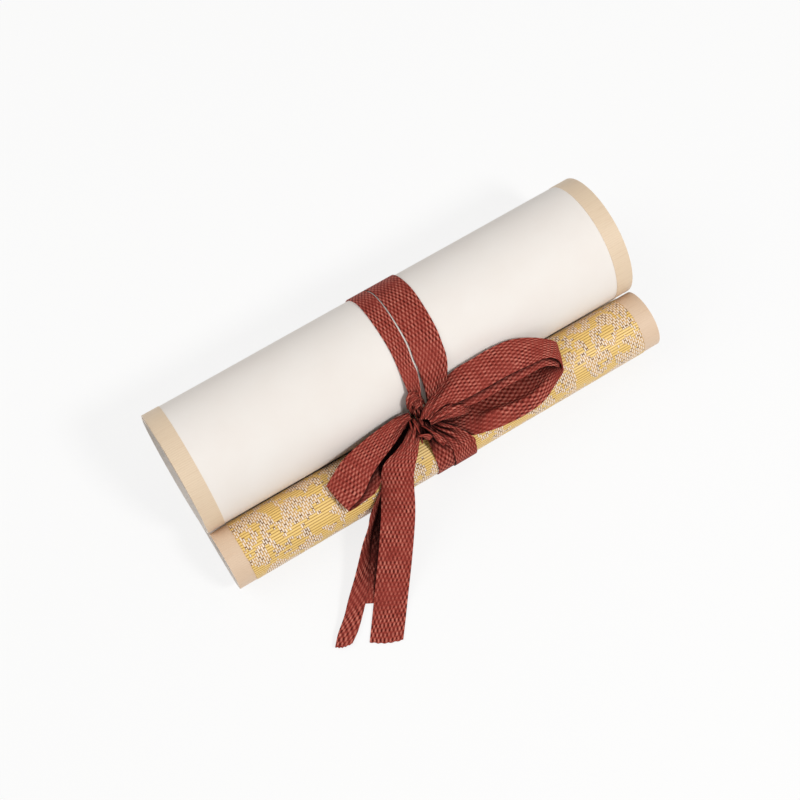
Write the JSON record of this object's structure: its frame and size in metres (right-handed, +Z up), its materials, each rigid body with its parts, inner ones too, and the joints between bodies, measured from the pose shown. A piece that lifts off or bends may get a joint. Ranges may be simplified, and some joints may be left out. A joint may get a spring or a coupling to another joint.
{
  "type": "tied paper scroll",
  "caption": "Paper hand scroll rolled up from both ends, with a white paper roll behind a brocade roll and a wide red ribbon tied round both in a loose bow.",
  "frame": {"origin": "on the table under the web that joins the two rolls, halfway between their axes and halfway along them", "axes": "+X along the rolls, towards the bow's large loop; +Y from the small brocade roll towards the large white roll; +Z up from the table"},
  "size_m": [0.14, 0.0889, 0.0374],
  "materials": {
    "paper": "matte, soft mounted paper",
    "brocade": "gold silk brocade with pinkish-white woven motifs, satin",
    "edging": "cream ribbed silk, satin",
    "ribbon": "dark red coarse woven ribbon"
  },
  "bodies": {
    "root": {"scroll_sheet": "paper", "brocade_cover": "brocade", "left_edging": "edging", "right_edging": "edging", "ribbon": "ribbon"}
  },
  "joints": []
}
